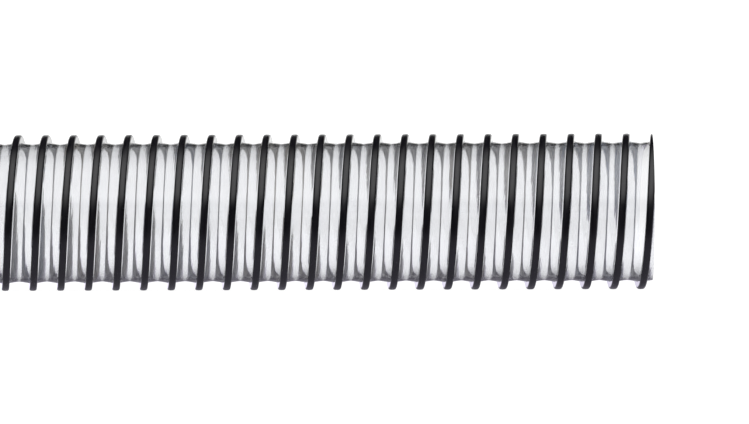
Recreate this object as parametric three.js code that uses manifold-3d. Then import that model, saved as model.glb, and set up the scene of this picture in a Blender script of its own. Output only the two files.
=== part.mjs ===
import * as THREE from "three";
import { mergeVertices } from "three/addons/utils/BufferGeometryUtils.js";
import Module from "manifold-3d";

// A clear plastic duct hose with a black spiral rib wound round its outside. It lies along X with its cut end on +X.
// The units are millimetres and +Z is up. The origin is on the floor, under the middle of the hose.

// Driving dimensions
const length = 1000; // the cut length, along X
const boreRadius = 50.8; // a 4 inch bore
const wallThickness = 1; // the clear wall, midway between two turns of the rib
const seatRise = 1.2; // how far the wall swells outwards to carry the rib
const seatMargin = 0.5; // the seat on each side of the rib
const shoulderWidth = 4.2; // the slope from the seat down to the thin wall
const ribClearance = 0.3; // between the seat and the rib
const ribHeight = 5.35; // from the rib's foot to its crown
const ribWidth = 5.5; // along X
const crownChamfer = 0.9; // the broken corners of the rib's crown
const pitch = 20.8; // along X, from one turn of the rib to the next
const topRibOverhang = 1.6; // the rib's middle would cross the top this far beyond the right end
const sidesPerTurn = 16; // flat facets round the hose; a multiple of four puts one of them on the floor

// Radii from the inside out, each to the middle of a facet
const wallRadius = boreRadius + wallThickness;
const seatRadius = wallRadius + seatRise;
const ribFootRadius = seatRadius + ribClearance;
const crownRadius = ribFootRadius + ribHeight;

// The spiral
const facetAngle = (2 * Math.PI) / sidesPerTurn;
const facetAdvance = pitch / sidesPerTurn;
const cornerStretch = 1 / Math.cos(facetAngle / 2); // a facet's corners lie this much farther out than its middle
const topRibX = length / 2 + topRibOverhang;
const stepsToLeftEnd = Math.ceil((topRibX + length / 2) / facetAdvance);
const firstStep = stepsToLeftEnd + sidesPerTurn; // a whole turn beyond the left end
const lastStep = -sidesPerTurn; // a whole turn beyond the right end
const overrun = 2 * pitch; // what is cut off reaches this far beyond each end

const wasm = await Module();
wasm.setup();

// The direction out from the axis at an angle that is measured from the top (+Z) towards -Y.
function outward(angle) {
  return new THREE.Vector3(0, -Math.sin(angle), Math.cos(angle));
}

// The hose's axis, along which a section turns by one facet at each step. The angle falls as X grows,
// so the turns lean from the lower left to the upper right when seen from -Y: a left-hand spiral.
class TurningAxis extends THREE.Curve {
  stepAt(t) {
    return THREE.MathUtils.lerp(firstStep, lastStep, t) + 0.5;
  }

  getPoint(t, target = new THREE.Vector3()) {
    return target.set(topRibX - this.stepAt(t) * facetAdvance, 0, 0);
  }

  getPointAt(t, target) {
    return this.getPoint(t, target);
  }

  computeFrenetFrames(steps) {
    const frames = { tangents: [], normals: [], binormals: [] };
    for (let i = 0; i <= steps; i++) {
      const angle = this.stepAt(i / steps) * facetAngle;
      frames.tangents.push(new THREE.Vector3(1, 0, 0));
      frames.normals.push(outward(angle).multiplyScalar(cornerStretch));
      frames.binormals.push(new THREE.Vector3(1, 0, 0));
    }
    return frames;
  }
}

// Sweeps a section along the spiral. Each corner is [distance from the axis, distance along X from the rib's middle].
function spiral(corners) {
  const section = new THREE.Shape(corners.map(([radius, along]) => new THREE.Vector2(radius, along)));
  return new THREE.ExtrudeGeometry(section, {
    steps: firstStep - lastStep,
    extrudePath: new TurningAxis(),
  });
}

// A faceted round bar along X, whose facets line up with the spiral's.
function bar(radius, barLength) {
  const cornerRadius = radius * cornerStretch;
  return new THREE.CylinderGeometry(
    cornerRadius,
    cornerRadius,
    barLength,
    sidesPerTurn,
    1,
    false,
    facetAngle / 2,
  ).rotateZ(-Math.PI / 2);
}

function solid(geometry) {
  const bare = geometry.clone();
  bare.deleteAttribute("normal");
  bare.deleteAttribute("uv");
  const merged = mergeVertices(bare, 1e-4);
  return new wasm.Manifold(
    new wasm.Mesh({
      numProp: 3,
      vertProperties: new Float32Array(merged.attributes.position.array),
      triVerts: new Uint32Array(merged.index.array),
    }),
  );
}

function geometryOf(made) {
  const mesh = made.getMesh();
  return new THREE.BufferGeometry()
    .setAttribute("position", new THREE.BufferAttribute(mesh.vertProperties, 3))
    .setIndex(new THREE.BufferAttribute(mesh.triVerts, 1));
}

// What both square cuts leave: everything between the two ends.
function betweenTheEnds() {
  const across = 3 * crownRadius;
  return solid(new THREE.BoxGeometry(length, across, across));
}

// The clear wall: a thin tube that swells into a spiral seat under the rib, with a plain bore.
function clearWall() {
  const halfSeat = ribWidth / 2 + seatMargin;
  const halfBase = halfSeat + shoulderWidth;
  const rootRadius = wallRadius - wallThickness / 2;
  const seat = spiral([
    [rootRadius, -halfBase],
    [wallRadius, -halfBase],
    [seatRadius, -halfSeat],
    [seatRadius, halfSeat],
    [wallRadius, halfBase],
    [rootRadius, halfBase],
  ]);
  const longBar = length + 2 * overrun;
  const longBore = longBar + 2 * overrun;
  return solid(bar(wallRadius, longBar))
    .add(solid(seat))
    .subtract(solid(bar(boreRadius, longBore)))
    .intersect(betweenTheEnds());
}

// The rib: one black strip, wound on edge round the seat and cut off square with the wall.
function spiralRib() {
  const half = ribWidth / 2;
  const strip = spiral([
    [ribFootRadius, -half],
    [crownRadius - crownChamfer, -half],
    [crownRadius, crownChamfer - half],
    [crownRadius, half - crownChamfer],
    [crownRadius - crownChamfer, half],
    [ribFootRadius, half],
  ]);
  return solid(strip).intersect(betweenTheEnds());
}

const clearPlastic = new THREE.MeshStandardMaterial({
  color: 0xe6e9ee,
  roughness: 0.15,
  metalness: 0,
  transparent: true,
  opacity: 0.35,
});
const blackPlastic = new THREE.MeshStandardMaterial({
  color: 0x17161b,
  roughness: 0.4,
  metalness: 0,
});

function piece(name, made, material) {
  const mesh = new THREE.Mesh(geometryOf(made), material);
  mesh.name = name;
  return mesh;
}

const hose = new THREE.Group();
hose.add(piece("clear_wall", clearWall(), clearPlastic));
hose.add(piece("spiral_rib", spiralRib(), blackPlastic));
hose.position.z = crownRadius; // the crown rests on the floor

export default hose;
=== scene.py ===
"""The looks of a clear duct hose with a black spiral rib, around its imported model. Metres, +Z up."""
import math

import bmesh
import bpy
import numpy as np
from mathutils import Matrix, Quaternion, Vector


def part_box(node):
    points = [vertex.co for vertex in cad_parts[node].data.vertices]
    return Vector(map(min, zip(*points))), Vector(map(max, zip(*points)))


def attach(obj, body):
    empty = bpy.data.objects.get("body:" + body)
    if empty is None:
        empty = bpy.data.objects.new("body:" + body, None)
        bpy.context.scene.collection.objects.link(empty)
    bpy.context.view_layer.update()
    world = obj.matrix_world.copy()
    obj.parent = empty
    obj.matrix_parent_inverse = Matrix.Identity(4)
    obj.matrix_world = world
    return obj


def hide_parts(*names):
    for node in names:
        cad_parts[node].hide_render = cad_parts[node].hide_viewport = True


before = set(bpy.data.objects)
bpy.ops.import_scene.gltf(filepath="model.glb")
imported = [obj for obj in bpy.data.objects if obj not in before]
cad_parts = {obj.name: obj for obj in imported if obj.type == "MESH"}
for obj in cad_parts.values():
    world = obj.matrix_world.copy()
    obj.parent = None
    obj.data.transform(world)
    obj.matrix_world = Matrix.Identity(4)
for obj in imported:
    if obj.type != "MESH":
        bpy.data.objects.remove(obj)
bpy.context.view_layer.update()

MM = 0.001
FULL_TURN = 2 * math.pi

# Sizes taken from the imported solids
rib_low, rib_high = (Vector(corner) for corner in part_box("spiral_rib"))
LENGTH = rib_high.x - rib_low.x
CROWN_RADIUS = (rib_high.z - rib_low.z) / 2
AXIS_Z = (rib_high.z + rib_low.z) / 2

# The clear wall
BORE_RADIUS = 50.8 * MM
WALL_RADIUS = 51.8 * MM  # the outside of the wall, midway between two turns of the rib
SEAT_RADIUS = 53.0 * MM  # the outside of the wall where it carries the rib
VALLEY_ROUND = 1.6 * MM  # the valley between two turns is round this near its middle and straight beyond
BEAD_RADIUS = 52.8 * MM  # where the valley's flank meets the steeper weld bead beside the rib
BEAD_WIDTH = 0.6 * MM

# The rib
PITCH = 20.8 * MM
RIB_WIDTH = 5.5 * MM
RIB_ROOT = 0.35 * MM  # how deep the rib's foot is welded into the wall's seat
CROWN_ROUND = 1.5 * MM  # the radius of the crown's corners
CROWN_ARC = 10 * MM  # the radius of the slightly domed crown between them
TOP_RIB_OVERHANG = 1.6 * MM  # the rib's middle would cross the top this far beyond the right end

# How finely the two meshes are divided
STEPS_PER_TURN = 128
VALLEY_COLUMNS = 12
CLOSER = 0.45  # how wide a column is at the bottom of the valley, as a share of an even width
ROUND_STEPS = 4  # round each corner of the crown
BORE_RINGS = 41
END_LINE = 0.1 * MM  # from an edge or a cut end to the next line of points
WALL_SPARE_TURNS = 2  # beyond each end, until the ends are cut
RIB_SPARE_TURNS = 1
SAME_PLACE = 1e-6  # points that are closer than this to a plane or a radius lie on it
CUT_SNAP = 1e-7  # a cut goes through a point that is closer to it than this

# The photograph, as seen from its camera
PHOTO_WIDTH_PX = 749
PHOTO_MIDDLE_COLUMN_PX = 374.5
END_COLUMN_PX = 652.2  # where the hose's axis ends on the right
FACING_COLUMN_PX = 330  # the column that is straight in front of the camera
PIXEL = 0.753 * MM  # one pixel at the hose's axis
CAMERA_DISTANCE = 6.4
CAMERA_ROLL = -0.16  # degrees; the hose rises a little to the right
SENSOR_WIDTH_MM = 36

# The clear plastic
PLASTIC_IOR = 1.5
CLEAR_COLOUR = (0.965, 0.97, 0.985, 1)
CLEAR_TRANSMISSION = 0.97
CLEAR_ROUGHNESS = (0.02, 0.07)  # from the clearest streaks to the haziest
DRAWN_DEPTH = 0.035 * MM
RIPPLE_DEPTH = 0.02 * MM

# The black plastic
DEEP_BLACK = (0.0025, 0.0022, 0.004, 1)
SOFT_BLACK = (0.006, 0.0055, 0.008, 1)
BLACK_SPECULAR = 0.3
SIDE_ROUGHNESS = 0.06
CROWN_ROUGHER_BY = (0.16, 0.28)
SIDEWAYS_SPAN = (0.8, 0.97)  # how far the surface faces along X, from the crown's corners to the flat sides
CROWN_LINE_DEPTH = 0.01 * MM
FOOT_BLUISH = (0.40, 0.48, 0.66, 1)
FOOT_BROWNISH = (0.62, 0.55, 0.46, 1)
FOOT_PALE = (0.97, 0.96, 0.94, 1)

# The noise's values, from the weakest streaks to the strongest
STREAK_SPAN = (0.3, 0.7)
TINT_SPAN = (0.4, 0.6)

# The floor. The places are along Y, where the camera's side is negative.
FLOOR_RADIUS = 8.0
FLOOR_FADE = (1.5, 7.2)  # how far from its middle the floor fades into the backdrop
FLOOR_COLOUR = (0.12, 0.12, 0.12, 1)
FLOOR_ROUGHNESS = 0.9
FLOOR_SPECULAR = 0.1
FLOOR_GLOW = 0.93
SHADE_BEHIND = 0.7  # the painted shade of the hose on the floor's glow close behind it, as it shows through the clear wall
SHADE_PLACES = (0.05, 0.22)  # from that painted shade to the full glow
FRONT_PLACES = (-0.02, -0.1)  # where painted light makes the floor in front bright, as it shows through the clear wall
# The floor as the hose reflects it carries painted light and painted shade, in a faint lilac tint.
MIRRORED_TINT = (0.93, 0.88, 1.08)
MIRRORED_PLACES = (-0.2, 0.2)
MIRRORED_LIGHT_AND_SHADE = (  # each place and its brightness as the hose reflects it: painted light, and a painted shadow under the hose
    (-0.135, 0),
    (-0.08, 0.7),
    (-0.05, 0.7),
    (-0.02, 0.35),
    (0.04, 0.35),
    (0.12, 1.2),
)

# The studio's light, as the brightness of what is seen
SOFT_LIGHT = 3.2
BACKDROP = 1.2
BACKDROP_THROUGH_WALL = 0.9
DIM = 0.03

# Where that light fades: the bright end and the dark end, as parts of a direction of length 1
SOFT_LIGHT_UP = (0.5, 0.12)
SOFT_LIGHT_BACK = (-0.35, 0.35)
SOFT_LIGHT_SIDE = (0.1, 0.95)
BACKDROP_SLOPE = (0.28, 0.42)
BACKDROP_BACK = (0.6, 0.2)
THROUGH_SLOPE = (0.2, 0.5)
THROUGH_SIDE = (0.25, 0.6)
THROUGH_BACK = (-0.2, 0.2)  # over which the factor below changes
THROUGH_STEEPER = (2.0, 1.0)  # what multiplies the slope, from the front to the back


# Camera

def x_at_column(column):
    """The place along the hose's axis that shows at a column of the photograph."""
    return LENGTH / 2 - (END_COLUMN_PX - column) * PIXEL


def make_camera():
    data = bpy.data.cameras.new("camera")
    data.sensor_width = SENSOR_WIDTH_MM
    data.lens = SENSOR_WIDTH_MM * CAMERA_DISTANCE / (PIXEL * PHOTO_WIDTH_PX)
    data.clip_start = 0.1
    data.clip_end = 100
    camera = bpy.data.objects.new("camera", data)
    bpy.context.scene.collection.objects.link(camera)
    camera.location = (x_at_column(FACING_COLUMN_PX), -CAMERA_DISTANCE, AXIS_Z)
    target = Vector((x_at_column(PHOTO_MIDDLE_COLUMN_PX), 0, AXIS_Z))
    aim = (target - camera.location).to_track_quat("-Z", "Y")
    camera.rotation_euler = (aim @ Quaternion((0, 0, 1), math.radians(CAMERA_ROLL))).to_euler()
    bpy.context.scene.camera = camera


# Meshes

def places(x, radius, angle):
    """Points of the hose. The angle is measured from the top towards -Y, the camera's side."""
    x, radius, angle = np.broadcast_arrays(x, radius, angle)
    return np.stack([x, -radius * np.sin(angle), AXIS_Z + radius * np.cos(angle)], axis=-1)


def new_object(name, bm):
    mesh = bpy.data.meshes.new(name)
    bm.to_mesh(mesh)
    bm.free()
    piece = bpy.data.objects.new(name, mesh)
    bpy.context.scene.collection.objects.link(piece)
    return piece


def face_uvs(*corners):
    """The UVs of many faces, from those of their first corners, of their second corners and so on."""
    return np.stack([np.stack(corner, axis=1) for corner in corners], axis=1)


def grid_mesh(points, corners, uvs):
    """A bmesh from points, rows of four corners, and the UV of each of those corners."""
    mesh = bpy.data.meshes.new("grid")
    mesh.from_pydata(points.reshape(-1, 3).tolist(), [], corners.tolist())
    layer = mesh.uv_layers.new(name="Spiral")
    layer.data.foreach_set("uv", uvs.astype(np.float32).ravel())
    mesh.shade_smooth()
    bm = bmesh.new()
    bm.from_mesh(mesh)
    bpy.data.meshes.remove(mesh)
    return bm


def cut_square(bm, side):
    """Cuts the mesh off at one end of the hose, and returns the edges of the cut.

    A second line close to the cut keeps the shading of the long surfaces clear of the flat end."""
    end = side * LENGTH / 2
    for place, cuts_off in ((end, True), (end - side * END_LINE, False)):
        bmesh.ops.bisect_plane(
            bm,
            geom=bm.verts[:] + bm.edges[:] + bm.faces[:],
            plane_co=(place, 0, 0),
            plane_no=(side, 0, 0),
            clear_outer=cuts_off,
            dist=CUT_SNAP,
        )
    cut = [edge for edge in bm.edges if all(abs(v.co.x - end) < SAME_PLACE for v in edge.verts)]
    for edge in cut:
        edge.smooth = False
    return cut


def keep_crisp(bm, radius):
    """Keeps the edges at one distance from the hose's axis out of the smooth shading."""
    for edge in bm.edges:
        if all(abs(math.hypot(v.co.y, v.co.z - AXIS_Z) - radius) < SAME_PLACE for v in edge.verts):
            edge.smooth = False


def close_ring(bm, outer, inner):
    """Fills the flat ring between two closed lines of points round the hose's axis."""
    def angle_of(v):
        return math.atan2(-v.co.y, v.co.z - AXIS_Z) % FULL_TURN

    def next_angle(line, k):
        """Where the point after a line's k-th one lies. Past its last point the line is used up."""
        if k == len(line):
            return math.inf
        return angle_of(line[k + 1]) if k + 1 < len(line) else FULL_TURN

    outer, inner = sorted(outer, key=angle_of), sorted(inner, key=angle_of)
    i = j = 0
    while i < len(outer) or j < len(inner):
        a, b = outer[i % len(outer)], inner[j % len(inner)]
        if next_angle(outer, i) <= next_angle(inner, j):
            i += 1
            bm.faces.new((a, outer[i % len(outer)], b))
        else:
            j += 1
            bm.faces.new((a, inner[j % len(inner)], b))


def wall_profile():
    """Each column's place along the hose from the rib's middle, and its radius, over one turn of the wall.

    The first two columns are the edges of the seat. The others cross the valley from bead to bead."""
    half_valley = (PITCH - RIB_WIDTH) / 2 - BEAD_WIDTH
    across = np.linspace(-1, 1, VALLEY_COLUMNS + 1)
    across = half_valley * across * (CLOSER + (1 - CLOSER) * across ** 2)
    rise = np.hypot(VALLEY_ROUND, across) - VALLEY_ROUND
    valley = WALL_RADIUS + (BEAD_RADIUS - WALL_RADIUS) * rise / rise[0]
    offset = np.concatenate([[-RIB_WIDTH / 2, RIB_WIDTH / 2], PITCH / 2 + across])
    radius = np.concatenate([[SEAT_RADIUS, SEAT_RADIUS], valley])
    return offset, radius


def wall_outside():
    """The wall's outside, before its ends are cut.

    A column of points goes once round the hose and ends beside the start of the column one turn before it."""
    offset, radius = wall_profile()
    columns_per_turn = len(offset)
    first_turn = -math.ceil(LENGTH / PITCH) - WALL_SPARE_TURNS
    turns = np.arange(first_turn, WALL_SPARE_TURNS)
    top_x = (LENGTH / 2 + TOP_RIB_OVERHANG + turns[:, None] * PITCH + offset).ravel()
    radius = np.tile(radius, len(turns))
    angle = FULL_TURN * np.arange(STEPS_PER_TURN) / STEPS_PER_TURN
    points = places(top_x[:, None] - PITCH * angle / FULL_TURN, radius[:, None], angle)

    column, step = np.meshgrid(np.arange(len(top_x) - 1), np.arange(STEPS_PER_TURN), indexing="ij")
    column, step = column.ravel(), step.ravel()
    wraps = step == STEPS_PER_TURN - 1
    kept = ~wraps | (column >= columns_per_turn)
    column, step, wraps = column[kept], step[kept], wraps[kept]
    here = column * STEPS_PER_TURN + step
    below = np.where(wraps, (column - columns_per_turn) * STEPS_PER_TURN, here + 1)
    corners = np.stack([here, here + STEPS_PER_TURN, below + STEPS_PER_TURN, below], axis=1)

    turn = turns[column // columns_per_turn]
    within = column % columns_per_turn
    one_turn = FULL_TURN * WALL_RADIUS
    along = one_turn * (step / STEPS_PER_TURN - turn)
    next_along = along + one_turn / STEPS_PER_TURN
    ends = np.append(offset, PITCH - RIB_WIDTH / 2)
    left, right = ends[within], ends[within + 1]
    uvs = face_uvs((along, left), (along, right), (next_along, right), (next_along, left))
    return grid_mesh(points, corners, uvs)


def wall_mesh():
    """The clear wall: a smooth bore, and an outside with a shallow valley between the turns of the rib."""
    bm = wall_outside()
    keep_crisp(bm, SEAT_RADIUS)
    keep_crisp(bm, BEAD_RADIUS)
    angle = FULL_TURN * np.arange(STEPS_PER_TURN) / STEPS_PER_TURN
    inside = LENGTH / 2 - END_LINE
    ring_x = np.concatenate([[-LENGTH / 2], np.linspace(-inside, inside, BORE_RINGS), [LENGTH / 2]])
    rings = [[bm.verts.new(p) for p in places(x, BORE_RADIUS, angle)] for x in ring_x]
    for side, ring in ((-1, rings[0]), (1, rings[-1])):
        rim = {v for edge in cut_square(bm, side) for v in edge.verts}
        close_ring(bm, rim, ring)
    for left_ring, right_ring in zip(rings, rings[1:]):
        for k in range(STEPS_PER_TURN):
            face = bm.faces.new((left_ring[k - 1], left_ring[k], right_ring[k], right_ring[k - 1]))
            face.smooth = True
    bmesh.ops.recalc_face_normals(bm, faces=bm.faces)
    return bm


def rib_section():
    """The rib's outline: [along the hose from the rib's middle, distance from the axis], foot first."""
    half = RIB_WIDTH / 2
    foot = SEAT_RADIUS - RIB_ROOT
    corner_x = half - CROWN_ROUND
    dome = math.asin(corner_x / (CROWN_ARC - CROWN_ROUND))
    corner_radius = CROWN_RADIUS - CROWN_ARC + (CROWN_ARC - CROWN_ROUND) * math.cos(dome)
    turn = np.linspace(0, np.pi / 2 - dome, ROUND_STEPS + 1)
    corner = [corner_x, corner_radius] + CROWN_ROUND * np.stack([np.cos(turn), np.sin(turn)], axis=1)
    right = np.concatenate([[[half, foot], [half, corner_radius - END_LINE]], corner])
    left = right[::-1] * [-1, 1]
    return np.concatenate([right, [[0, CROWN_RADIUS]], left])


def outline_lengths(section):
    """How far along its outline each point of a section lies."""
    return np.concatenate([[0], np.cumsum(np.linalg.norm(np.diff(section, axis=0), axis=1))])


def rib_mesh():
    """The black rib: its section swept along the spiral and cut off square at both ends."""
    section = rib_section()
    count = len(section)
    first = -STEPS_PER_TURN * RIB_SPARE_TURNS
    last = math.ceil((LENGTH / PITCH + RIB_SPARE_TURNS) * STEPS_PER_TURN)
    step = np.arange(first, last + 1)
    angle = FULL_TURN * step / STEPS_PER_TURN
    middle = LENGTH / 2 + TOP_RIB_OVERHANG - PITCH * step / STEPS_PER_TURN
    points = places(middle[:, None] + section[:, 0], section[:, 1], angle[:, None])

    row, k = np.meshgrid(np.arange(len(step) - 1), np.arange(count), indexing="ij")
    row, k = row.ravel(), k.ravel()
    here, beside = row * count + k, row * count + (k + 1) % count
    corners = np.stack([here, here + count, beside + count, beside], axis=1)

    around = outline_lengths(section)
    around = np.append(around, around[-1] + RIB_WIDTH)
    along = CROWN_RADIUS * angle
    uvs = face_uvs(
        (along[row], around[k]),
        (along[row + 1], around[k]),
        (along[row + 1], around[k + 1]),
        (along[row], around[k + 1]),
    )
    bm = grid_mesh(points, corners, uvs)
    keep_crisp(bm, SEAT_RADIUS - RIB_ROOT)
    for side in (-1, 1):
        cut = cut_square(bm, side)
        for face in bmesh.ops.contextual_create(bm, geom=cut)["faces"]:
            face.smooth = False
    bmesh.ops.recalc_face_normals(bm, faces=bm.faces)
    return bm


# Shader nodes. In these functions a value, factor or colour is a plain one or another node's output.

def feed(tree, socket, value):
    if isinstance(value, bpy.types.NodeSocket):
        tree.links.new(value, socket)
    else:
        socket.default_value = value


def remapped(tree, value, from_range, to_range, smooth=False):
    """A value carried over from one range to another, and held at the ends of it."""
    node = tree.nodes.new("ShaderNodeMapRange")
    node.interpolation_type = "SMOOTHSTEP" if smooth else "LINEAR"
    node.inputs["From Min"].default_value, node.inputs["From Max"].default_value = from_range
    node.inputs["To Min"].default_value, node.inputs["To Max"].default_value = to_range
    feed(tree, node.inputs["Value"], value)
    return node.outputs["Result"]


def faded(tree, value, ends, smooth=True):
    """One where a value is past the bright end of a range, and zero where it is past the dark end."""
    bright, dark = ends
    return remapped(tree, value, (dark, bright), (0, 1), smooth)


def combined(tree, operation, *values):
    """A sum, maximum, comparison or the like of two values, or an operation on one."""
    node = tree.nodes.new("ShaderNodeMath")
    node.operation = operation
    for socket, value in zip(node.inputs, values):
        feed(tree, socket, value)
    return node.outputs["Value"]


def product(tree, *factors):
    total = factors[0]
    for factor in factors[1:]:
        total = combined(tree, "MULTIPLY", total, factor)
    return total


def mixed(tree, factor, first, second, data_type="RGBA"):
    """Goes from the first colour or value to the second as the factor goes from 0 to 1."""
    node = tree.nodes.new("ShaderNodeMix")
    node.data_type = data_type
    for name, value in (("Factor", factor), ("A", first), ("B", second)):
        feed(tree, node.inputs[name], value)
    return node.outputs["Result"]


def parts_of(tree, vector):
    """The X, Y and Z of a vector."""
    node = tree.nodes.new("ShaderNodeSeparateXYZ")
    tree.links.new(vector, node.inputs["Vector"])
    return [node.outputs[axis] for axis in "XYZ"]


def spiral_uv(tree):
    """The place along the spiral and the place across it, in metres."""
    node = tree.nodes.new("ShaderNodeUVMap")
    node.uv_map = "Spiral"
    return node.outputs["UV"]


def streaks(tree, along, across, detail=3):
    """Noise that is stretched along the spiral, with so many waves a metre along it and across it."""
    stretch = tree.nodes.new("ShaderNodeMapping")
    stretch.inputs["Scale"].default_value = (along, across, 1)
    noise = tree.nodes.new("ShaderNodeTexNoise")
    noise.noise_dimensions = "2D"
    noise.inputs["Scale"].default_value = 1
    noise.inputs["Detail"].default_value = detail
    tree.links.new(spiral_uv(tree), stretch.inputs["Vector"])
    tree.links.new(stretch.outputs["Vector"], noise.inputs["Vector"])
    return noise.outputs["Fac"]


def bump(tree, height, depth, normal=None):
    """A surface's normal with relief on it, over that of a coarser relief if one is given."""
    node = tree.nodes.new("ShaderNodeBump")
    node.inputs["Strength"].default_value = 1
    node.inputs["Distance"].default_value = depth
    tree.links.new(height, node.inputs["Height"])
    if normal:
        tree.links.new(normal, node.inputs["Normal"])
    return node.outputs["Normal"]


def is_ray(tree, kind):
    """One for one kind of ray, such as "Camera", and zero for the others."""
    return tree.nodes.new("ShaderNodeLightPath").outputs[f"Is {kind} Ray"]


# Materials

def new_material(name):
    material = bpy.data.materials.new(name)
    material.use_nodes = True
    return material, material.node_tree, material.node_tree.nodes["Principled BSDF"]


def clear_plastic():
    """Clear flexible plastic with a slight haze, drawn out in faint streaks along the spiral."""
    material, tree, shader = new_material("clear_plastic")
    shader.inputs["Base Color"].default_value = CLEAR_COLOUR
    shader.inputs["Transmission Weight"].default_value = CLEAR_TRANSMISSION
    shader.inputs["IOR"].default_value = PLASTIC_IOR
    haze = streaks(tree, along=14, across=160)
    feed(tree, shader.inputs["Roughness"], remapped(tree, haze, STREAK_SPAN, CLEAR_ROUGHNESS))
    drawn = bump(tree, streaks(tree, along=9, across=420, detail=2), DRAWN_DEPTH)
    rippled = bump(tree, streaks(tree, along=110, across=500, detail=2), RIPPLE_DEPTH, normal=drawn)
    feed(tree, shader.inputs["Normal"], rippled)
    return material


def foot_colour(tree):
    """The hazy look of the rib's fused foot, which shows through the clear wall."""
    where = remapped(tree, streaks(tree, along=0.7, across=5), TINT_SPAN, (0, 1))
    tint = mixed(tree, where, FOOT_BLUISH, FOOT_BROWNISH)
    haze = streaks(tree, along=12, across=700, detail=4)
    return mixed(tree, remapped(tree, haze, STREAK_SPAN, (0, 1)), tint, FOOT_PALE)


def black_plastic():
    """Black plastic: satin and faintly drawn on the crown, smooth and glossy on the strip's flat sides."""
    material, tree, shader = new_material("black_plastic")
    shader.inputs["IOR"].default_value = PLASTIC_IOR
    shader.inputs["Specular IOR Level"].default_value = BLACK_SPECULAR

    cloud = streaks(tree, along=30, across=250, detail=5)
    black = mixed(tree, remapped(tree, cloud, STREAK_SPAN, (0, 1)), DEEP_BLACK, SOFT_BLACK)
    _, around, _ = parts_of(tree, spiral_uv(tree))
    on_foot = combined(tree, "GREATER_THAN", around, outline_lengths(rib_section())[-1])
    feed(tree, shader.inputs["Base Color"], mixed(tree, on_foot, black, foot_colour(tree)))

    surface = tree.nodes.new("ShaderNodeNewGeometry")
    facing_x, _, _ = parts_of(tree, surface.outputs["True Normal"])
    sideways = combined(tree, "ABSOLUTE", facing_x)
    crown = remapped(tree, sideways, SIDEWAYS_SPAN, (1, 0), smooth=True)
    satin = remapped(tree, cloud, STREAK_SPAN, CROWN_ROUGHER_BY)
    roughness = combined(tree, "ADD", product(tree, satin, crown), SIDE_ROUGHNESS)
    feed(tree, shader.inputs["Roughness"], roughness)
    drawn = product(tree, streaks(tree, along=25, across=1800, detail=2), crown)
    feed(tree, shader.inputs["Normal"], bump(tree, drawn, CROWN_LINE_DEPTH))
    return material


# Stage

def painted_mirrored_floor(tree, y):
    """The floor as the hose reflects it, with painted light and shade: dark far in front, a painted shadow
    under the hose and painted light beside it.
    """
    node = tree.nodes.new("ShaderNodeValToRGB")
    stops = node.color_ramp.elements
    start, end = MIRRORED_PLACES
    for place, level in MIRRORED_LIGHT_AND_SHADE:
        stop = stops.new((place - start) / (end - start))
        stop.color = (*(level * part for part in MIRRORED_TINT), 1)
    stops.remove(stops[-1])  # the ramp's own two stops, one at each end of it
    stops.remove(stops[0])
    feed(tree, node.inputs["Fac"], remapped(tree, y, MIRRORED_PLACES, (0, 1)))
    return node.outputs["Color"]


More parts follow.
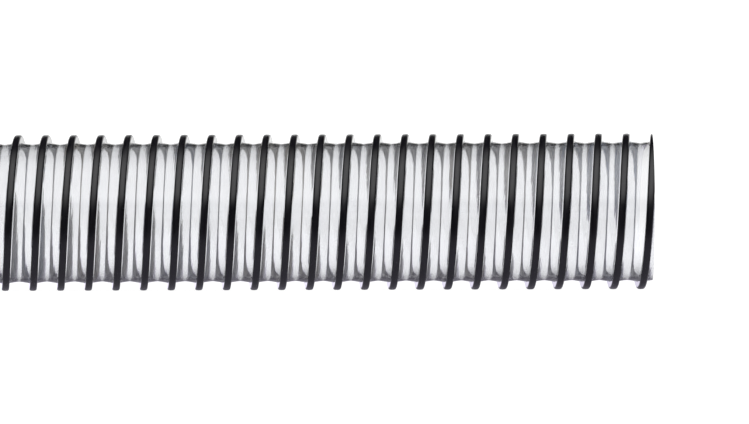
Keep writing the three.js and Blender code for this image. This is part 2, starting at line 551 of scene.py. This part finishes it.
def floor_white():
    """A pale floor that is lit from within, as a light table is, so that shadows on it stay faint.

    The camera sees an even glow. Reflections and the clear wall show it with painted shade near the hose and
    painted light around it."""
    material, tree, shader = new_material("floor_white")
    shader.inputs["Base Color"].default_value = FLOOR_COLOUR
    shader.inputs["Roughness"].default_value = FLOOR_ROUGHNESS
    shader.inputs["Specular IOR Level"].default_value = FLOOR_SPECULAR
    shader.inputs["Emission Strength"].default_value = 1
    place = tree.nodes.new("ShaderNodeTexCoord").outputs["Object"]
    _, y, _ = parts_of(tree, place)

    # Through the clear wall the floor shows a painted shadow close behind the hose and painted light in front
    # of it. The camera sees the even glow.
    behind = remapped(tree, y, SHADE_PLACES, (SHADE_BEHIND, FLOOR_GLOW))
    painted_light_in_front = remapped(tree, y, FRONT_PLACES, (0, 1))
    seen = is_ray(tree, "Camera")
    glow = mixed(tree, seen, combined(tree, "ADD", behind, painted_light_in_front), FLOOR_GLOW, data_type="FLOAT")
    unmirrored = combined(tree, "MAXIMUM", seen, is_ray(tree, "Transmission"))
    feed(tree, shader.inputs["Emission Color"], mixed(tree, unmirrored, painted_mirrored_floor(tree, y), glow))

    distance = tree.nodes.new("ShaderNodeVectorMath")
    distance.operation = "LENGTH"
    tree.links.new(place, distance.inputs[0])
    feed(tree, shader.inputs["Alpha"], remapped(tree, distance.outputs["Value"], FLOOR_FADE, (1, 0)))
    return material


def make_floor():
    bm = bmesh.new()
    bmesh.ops.create_circle(bm, cap_ends=True, segments=64, radius=FLOOR_RADIUS)
    floor = new_object("floor", bm)
    floor.data.materials.append(floor_white())


def make_world():
    """A white backdrop behind, a wide soft light above and in front, and dim surroundings.

    The camera sees plain white all round. Through the clear wall shows a backdrop with its own fades."""
    world = bpy.data.worlds.new("studio")
    bpy.context.scene.world = world
    world.use_nodes = True
    tree = world.node_tree
    x, y, z = parts_of(tree, tree.nodes.new("ShaderNodeTexCoord").outputs["Generated"])
    side = combined(tree, "ABSOLUTE", x)
    slope = combined(tree, "ABSOLUTE", z)

    soft_light = product(
        tree,
        faded(tree, z, SOFT_LIGHT_UP),
        faded(tree, y, SOFT_LIGHT_BACK, smooth=False),
        faded(tree, side, SOFT_LIGHT_SIDE),
        SOFT_LIGHT,
    )
    backdrop = product(tree, faded(tree, slope, BACKDROP_SLOPE), faded(tree, y, BACKDROP_BACK), BACKDROP)
    steeper = product(tree, slope, remapped(tree, y, THROUGH_BACK, THROUGH_STEEPER))
    through_wall = product(
        tree, faded(tree, steeper, THROUGH_SLOPE), faded(tree, side, THROUGH_SIDE), BACKDROP_THROUGH_WALL
    )
    outside = combined(tree, "ADD", soft_light, backdrop)
    lit = mixed(tree, is_ray(tree, "Transmission"), outside, through_wall, data_type="FLOAT")
    lit = combined(tree, "ADD", lit, DIM)
    background = tree.nodes["Background"]
    background.inputs["Color"].default_value = (1, 1, 1, 1)
    feed(tree, background.inputs["Strength"], combined(tree, "MAXIMUM", lit, is_ray(tree, "Camera")))
    bpy.context.scene.view_settings.view_transform = "Standard"


make_camera()

wall = new_object("clear_tube", wall_mesh())
wall.data.materials.append(clear_plastic())
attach(wall, "root")
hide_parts("clear_wall")

rib = new_object("black_spiral", rib_mesh())
rib.data.materials.append(black_plastic())
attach(rib, "root")
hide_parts("spiral_rib")

make_floor()
make_world()
